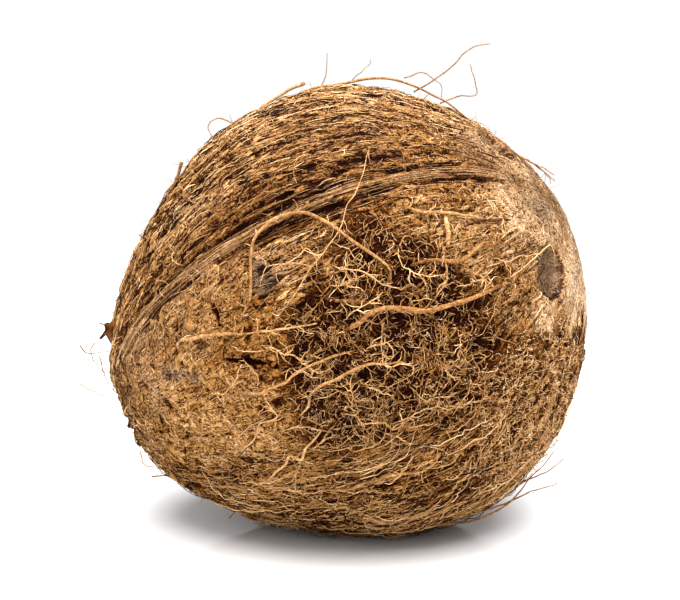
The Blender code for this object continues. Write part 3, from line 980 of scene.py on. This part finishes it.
LOOSE_STRANDS = (  # width and lift in mm, lightness, route
    (1.25, 1.9, 0.66, ((84, 86), (81, 86), (77, 85), (73, 86), (67, 90), (61, 92), (54, 94), (45, 96))),
    (0.95, 0.9, 0.50, ((85, 78), (82, 80), (80, 81), (77, 83), (75, 85))),
    (0.95, 1.5, 0.62, ((65, 79), (60, 80), (54, 83), (49, 82), (46, 81), (43, 83), (38, 81))),
    (0.32, 1.7, 0.90, ((43, 83), (38, 81), (34, 80), (30, 84), (27, 92), (26, 95))),
    (0.75, 1.3, 0.74, ((62, 65), (58, 68), (54, 69), (49, 71), (44, 73), (41, 75))),
    (0.80, 0.7, 0.40, ((47, 74), (44, 74), (39, 75), (37, 75), (31, 77))),
    (1.15, 1.3, 0.84, ((53, 70), (54, 74), (55, 78))),
    (0.50, 1.8, 0.72, ((56, 76), (57, 79), (58, 82), (59, 86), (65, 90))),
    (0.85, 1.6, 0.72, ((105, 74), (100, 71), (97, 66), (94, 61), (90, 59), (86, 59), (82, 60), (78, 64),
                       (75, 69), (70, 77), (71, 81))),
    (0.30, 2.4, 0.86, ((64, 47), (67, 54), (70, 59), (73, 62), (77, 67), (84, 71), (91, 75), (98, 78))),
    (0.95, 0.8, 0.80, ((125, 70), (122, 70), (120, 71), (117, 72), (114, 73), (107, 76))),
    (0.60, 1.0, 0.78, ((108, 76), (102, 78), (96, 80), (89, 82))),
    (0.62, 1.2, 0.78, ((115, 89), (110, 91), (106, 91), (102, 91), (98, 90), (91, 90), (85, 91))),
    (0.70, 1.6, 0.76, ((105, 101), (101, 99), (98, 96), (95, 95), (92, 95), (84, 95), (80, 97), (76, 99))),
    (0.40, 1.4, 0.82, ((76, 88), (80, 97), (76, 99), (74, 102))),
    (0.30, 1.0, 0.88, ((117, 87), (114, 86), (110, 83))),
    (0.28, 1.0, 0.82, ((109, 82), (108, 84), (108, 87))),
    (0.40, 1.0, 0.88, ((103, 81), (101, 82), (99, 85), (97, 85))),
    (0.35, 1.1, 0.84, ((97, 86), (96, 89), (95, 91), (94, 92))),
    (0.35, 0.7, 0.90, ((123, 86), (121, 87), (119, 88))),
    (0.35, 0.8, 0.86, ((124, 92), (123, 95), (123, 99))),
    (0.50, 1.1, 0.84, ((124, 100), (124, 103), (123, 105), (118, 102), (115, 99), (111, 99), (109, 98),
                       (110, 95), (112, 95))),
    (0.35, 0.9, 0.86, ((120, 101), (116, 102), (113, 103))),
    (0.28, 0.9, 0.88, ((116, 103), (115, 105), (114, 107))),
    (0.45, 1.1, 0.80, ((114, 103), (109, 103), (106, 103), (104, 104), (102, 106), (100, 108))),
    (0.62, 1.3, 0.84, ((131, 123), (125, 120), (120, 116), (116, 114), (113, 111), (111, 113), (108, 110),
                       (104, 108), (101, 106))),
    (0.36, 1.1, 0.84, ((111, 113), (113, 116), (116, 119), (119, 125), (122, 128), (127, 132))),
    (0.45, 1.1, 0.80, ((108, 111), (104, 110), (101, 109), (99, 110))),
    (0.85, 0.9, 0.72, ((112, 128), (106, 129), (101, 128), (96, 128), (92, 129), (87, 132))),
    (0.35, 1.1, 0.82, ((89, 114), (86, 117), (85, 120), (83, 123))),
    (0.32, 1.6, 0.82, ((94, 103), (92, 103), (90, 101), (89, 98), (90, 97))),
    (0.45, 1.2, 0.78, ((95, 104), (92, 106), (91, 109), (87, 111), (86, 114), (83, 114), (80, 113))),
    (0.32, 1.3, 0.84, ((87, 98), (85, 101), (83, 104), (81, 106))),
    (0.36, 1.6, 0.86, ((82, 92), (80, 92), (77, 93), (77, 96), (80, 97))),
    (0.30, 1.5, 0.90, ((66, 74), (67, 76), (67, 79), (65, 81), (63, 83), (60, 84), (57, 85))),
    (0.34, 1.4, 0.86, ((81, 72), (79, 74), (77, 75), (75, 77), (73, 80), (71, 82), (69, 83))),
    (0.28, 1.2, 0.84, ((83, 76), (80, 77), (78, 77), (75, 77), (73, 75))),
    (0.28, 2.2, 0.92, ((83, 84), (80, 83), (77, 83), (73, 82))),
    (0.26, 1.2, 0.84, ((76, 75), (75, 74), (76, 72), (76, 70))),
    (0.24, 1.1, 0.86, ((29, 70), (26, 74), (24, 77), (22, 85), (23, 91), (26, 95))),
    (0.36, 1.4, 0.92, ((42, 96), (36, 96), (30, 96), (26, 96), (22, 98), (18, 105))),
    (0.28, 1.2, 0.90, ((45, 86), (43, 88), (41, 90), (35, 92), (30, 95), (27, 95))),
    (0.30, 1.3, 0.84, ((48, 96), (48, 94), (50, 91), (53, 90), (55, 90))),
    (0.28, 1.3, 0.84, ((53, 86), (50, 90), (49, 94))),
    (0.34, 1.1, 0.74, ((46, 79), (43, 79), (39, 81))),
    (0.26, 1.3, 0.88, ((44, 65), (42, 65), (40, 67), (38, 71), (37, 75), (37, 81))),
    (0.30, 1.3, 0.90, ((97, 70), (95, 68), (93, 67), (89, 68), (86, 68), (84, 67), (83, 69), (84, 72))),
    (0.26, 1.2, 0.86, ((83, 65), (81, 66), (80, 66), (79, 65))),
    (0.26, 1.4, 0.88, ((68, 105), (68, 108), (67, 112))),
    (0.26, 1.2, 0.86, ((67, 106), (66, 106), (65, 109), (62, 112))),
    (0.26, 1.2, 0.86, ((77, 112), (74, 112), (72, 113), (71, 115))),
    (0.32, 1.2, 0.84, ((86, 113), (82, 113), (78, 113), (75, 115), (73, 117))),
    (0.50, 1.0, 0.76, ((71, 119), (67, 120), (63, 123), (60, 124))),
    (0.26, 1.4, 0.84, ((64, 106), (62, 103), (61, 101))),
)
STRAND_POINTS = 40


def ripple(width, shift):
    """Noise about zero along a strand, with waves this many of its points long."""
    steps_along = np.arange(STRAND_POINTS)[:, None] * np.array((1.0, 0.0, 0.0)) + shift
    return noise(steps_along, width) - 0.5


STRAND_DEPTH = 0.7 * MM  # the ends of a strand are this far under the outside of the mat
strand_draws = np.random.default_rng(5)
lines, lifts, widths, lights = [], [], [], []
along = np.linspace(0.0, 1.0, STRAND_POINTS)
for width, lift, tone, route in LOOSE_STRANDS:
    angles = smooth_route(route, STRAND_POINTS)
    shift = strand_draws.random((1, 3)) * 60.0
    kinks = min(0.9, 0.3 / width) * np.stack((ripple(3.0, shift), ripple(3.0, shift + 7.0)), -1)
    angles = angles + kinks * np.sin(along * math.pi)[:, None] ** 0.5
    lines.append(direction(angles[:, 0], angles[:, 1]))
    lifts.append((np.sin(along * math.pi) ** 0.5 * lift + 0.5 * ripple(5.0, shift)) * MM)
    swell = 0.5 + 0.5 * np.sin((0.05 + 0.85 * along) * math.pi) ** 0.6
    # The finer ones are a little finer than their listed width
    width = width if width > 0.6 else 0.82 * width
    widths.append(0.5 * width * MM * swell * (1.0 + 0.5 * ripple(2.0, shift + 3.0)))
    darker_ends = 0.12 * (1.0 - np.sin(along * math.pi)) ** 3
    lights.append(tone - 0.14 + 0.20 * ripple(2.5, shift + 5.0) - darker_ends)
lines, lifts = np.array(lines), np.array(lifts)
flat = lines.reshape(-1, 3)
strand_paths = placed(flat, nut_radius(flat) - STRAND_DEPTH + lifts.ravel(), 0.5 * MM)
tubes("loose_strands", strand_paths.reshape(lines.shape), np.array(widths), np.array(lights),
      np.full(len(lines), 0.30), sides=8)

many, count = 430, 5
length = FIBRE_DRAWS.uniform(1.0, 4.5, many) * MM
branches, branch_lift = shoots(lines, lifts, many, length, count, 0.4)
flat = branches.reshape(-1, 3)
paths = placed(flat, nut_radius(flat) - STRAND_DEPTH + branch_lift.ravel(), 0.3 * MM)
light = FIBRE_DRAWS.normal(0.76, 0.08, (many, 1)) + np.zeros(count)
widths = tapered(FIBRE_DRAWS.uniform(0.08, 0.14, many) * MM, count)
tubes("strand_branches", paths.reshape(branches.shape), widths, light, np.full(many, 0.12), sides=4)


# --- Stray hairs ----------------------------------------------------------------------------
# Single fibres that stand off the nut's outline. The third number of each place is how far off
# the nut it is, in mm.

STRAY_HAIRS = (  # width in mm, route
    (0.75, ((78, 9, -0.5), (67, 7, 0.6), (58, 5, 2.5), (48, 3, 1.8), (41, 1, 1.0), (30, -3, -0.8))),
    (0.40, ((50, 3, 0.5), (46, 2, 5.3), (43, 2, 10.7), (42, 2, 13.9), (40, 2, 17.3), (38, 2, 19.0))),
    (0.35, ((43, 1, 0.2), (39, 0, 4.1), (36, 0, 6.0), (37, 0, 8.2), (39, 1, 10.9), (40, 1, 12.2))),
    (0.30, ((53, 3, 3.4), (49, 3, 5.9), (46, 2, 5.3), (44, 2, 4.3), (43, 1, 1.0))),
    (0.30, ((73, 8, -0.6), (71, 7, 3.0), (70, 7, 8.4))),
    (0.30, ((67, 6, -0.4), (63, 6, 3.4), (61, 5, 5.6), (61, 5, 6.8))),
    (0.60, ((97, 173, -1.2), (89, 174, 1.1), (79, 175, 2.3), (72, 177, 1.1), (62, 179, 1.3))),
    (0.55, ((80, 176, -1.5), (75, 177, -0.4), (71, 177, 1.1), (67, 177, 3.0), (62, 178, 4.5))),
    (0.50, ((83, 175, 0.6), (77, 176, 2.4), (72, 176, 4.0), (67, 177, 7.2))),
    (0.45, ((91, 174, -1.2), (81, 175, 1.2))),
    (0.40, ((156, 32, 7.7), (158, 33, 5.6), (158, 34, -0.4))),
    (0.35, ((156, 31, 4.1), (158, 33, 4.8), (161, 37, 3.1), (164, 42, -0.3))),
    (0.40, ((162, 45, 8.3), (165, 49, 4.3), (167, 58, -0.3))),
    (0.35, ((159, 34, 2.5), (163, 41, 1.5), (166, 50, -0.2))),
    (0.35, ((95, 13, -0.4), (97, 14, 3.0), (100, 14, 2.9), (101, 14, -0.7))),
    (1.00, ((76, 9, 1.8), (79, 9, 1.2), (85, 10, 0.1), (90, 11, -0.7))),
    (0.90, ((110, 16, 1.3), (114, 17, -0.3), (119, 18, -0.9))),
    (0.45, ((164, 135, 3.0), (163, 140, 0.6), (162, 146, -0.6))),
    (0.40, ((168, 117, 0.5), (166, 128, 2.1), (165, 134, -0.5))),
    (0.40, ((147, 158, 2.0), (147, 160, -0.6))),
    (0.45, ((20, -6, -0.6), (16, -13, 0.6), (13, -16, 2.0), (10, -20, 3.0))),
    (0.40, ((20, -7, -0.5), (15, -15, 0.8), (11, -22, 1.6), (9, -25, 0.9))),
    (0.30, ((19, -8, -0.4), (14, -16, 1.2), (10, -22, 2.0), (9, -26, 2.2))),
)
lines, lifts, widths = [], [], []
for width, route in STRAY_HAIRS:
    places = smooth_route(route, STRAND_POINTS)
    lines.append(direction(places[:, 0], places[:, 1]))
    shift = strand_draws.random((1, 3)) * 60.0
    lifts.append((places[:, 2] + 0.5 * ripple(4.0, shift)) * MM)
    widths.append(np.linspace(0.5, 0.24, STRAND_POINTS) * width * MM)
lines = np.array(lines)
flat = lines.reshape(-1, 3)
stray_paths = placed(flat, nut_radius(flat) + np.array(lifts).ravel(), 0.4 * MM)
light = 0.50 + 0.22 * strand_draws.random((len(lines), 1)) + np.zeros(STRAND_POINTS)
tubes("stray_hairs", stray_paths.reshape(lines.shape), np.array(widths), light,
      np.full(len(lines), 0.2), sides=6)


# --- Short hairs ----------------------------------------------------------------------------
# Fine hairs all over the nut, most of them standing less than 3 mm off it, fewest on the bare
# end and the pith.

def hair_share(pith, mat, bare, stubble, felt, band):
    return 0.3 + 0.3 * stubble - 0.2 * bare - 0.15 * pith


hairs = scattered(FIBRE_DRAWS, 900, hair_share)[0]
many, count = len(hairs), 6
lines = wander_over(hairs, FIBRE_DRAWS.uniform(0.0, 2.0 * math.pi, many),
                    FIBRE_DRAWS.uniform(0.6, 3.0, many) * MM, count, 0.3, 0.3)
lift = np.linspace(-0.2, 1.0, count) * FIBRE_DRAWS.gamma(2.0, 0.75, (many, 1)) * MM
light = FIBRE_DRAWS.uniform(0.45, 0.9, (many, 1)) + np.zeros(count)
widths = tapered(FIBRE_DRAWS.uniform(0.07, 0.12, many) * MM, count)
tubes("short_hairs", over_skin(lines, lift), widths, light, np.full(many, 0.2))


# --- Floor, light and camera ----------------------------------------------------------------
# A white glossy board under one broad soft light, with a weak one in front. The nut shows a
# little to the right of the middle, and a little below it.

LENS = 100.0
SENSOR = 36.0
DISTANCE = 0.49  # metres from the camera to the nut's middle
ELEVATION = math.radians(10.0)
RIGHT_OF_MIDDLE = 5.86 * MM
BELOW_MIDDLE = 2.96 * MM
LIT_POINT = (0.0, 0.0, 0.06)

bpy.ops.object.select_all(action="DESELECT")
bpy.ops.mesh.primitive_circle_add(vertices=96, radius=0.55, fill_type="NGON")
floor = bpy.context.object
floor.name = "floor"
board = bpy.data.materials.new("white_gloss_board")
board.use_nodes = True
board_surface = board.node_tree.nodes["Principled BSDF"]
board_surface.inputs["Base Color"].default_value = linear("#f7f7f7")
board_surface.inputs["Roughness"].default_value = 0.04
board_surface.inputs["Specular IOR Level"].default_value = 0.5
floor.data.materials.append(board)

toward = np.array((0.0, -math.cos(ELEVATION), math.sin(ELEVATION)))
upright = np.array((0.0, math.sin(ELEVATION), math.cos(ELEVATION)))
eye_point = MIDDLE + toward * DISTANCE - np.array((RIGHT_OF_MIDDLE, 0.0, 0.0))
eye_point = eye_point + upright * BELOW_MIDDLE
camera_data = bpy.data.cameras.new("camera")
camera_data.lens = LENS
camera_data.sensor_width = SENSOR
camera_data.clip_start = 0.01
camera = bpy.data.objects.new("camera", camera_data)
camera.location = eye_point
camera.rotation_euler = (math.radians(90.0) - ELEVATION, 0.0, 0.0)
bpy.context.scene.collection.objects.link(camera)
bpy.context.scene.camera = camera


def softbox(name, place, size, power):
    """A round soft light of this width in metres and power in watts, aimed at the nut."""
    data = bpy.data.lights.new(name, "AREA")
    data.shape = "DISK"
    data.size = size
    data.energy = power
    lamp = bpy.data.objects.new(name, data)
    lamp.location = place
    lamp.rotation_euler = (Vector(LIT_POINT) - Vector(place)).to_track_quat("-Z", "Y").to_euler()
    bpy.context.scene.collection.objects.link(lamp)


softbox("key", (0.05, -0.30, 0.90), 1.15, 37.0)
softbox("front", (-0.15, -1.2, 0.75), 0.7, 6.0)

world = bpy.data.worlds.new("studio")
world.use_nodes = True
tree = world.node_tree
tree.nodes.clear()
seen = node(tree, "ShaderNodeLightPath").outputs["Is Camera Ray"]
white = linear("#ffffff")
ambient = node(tree, "ShaderNodeBackground", in_Color=white, in_Strength=0.46)
backdrop = node(tree, "ShaderNodeBackground", in_Color=white, in_Strength=1.0)
both = node(tree, "ShaderNodeMixShader", {0: seen, 1: ambient.outputs[0], 2: backdrop.outputs[0]})
node(tree, "ShaderNodeOutputWorld", {"Surface": both.outputs[0]})
bpy.context.scene.world = world
bpy.context.scene.view_settings.view_transform = "Standard"
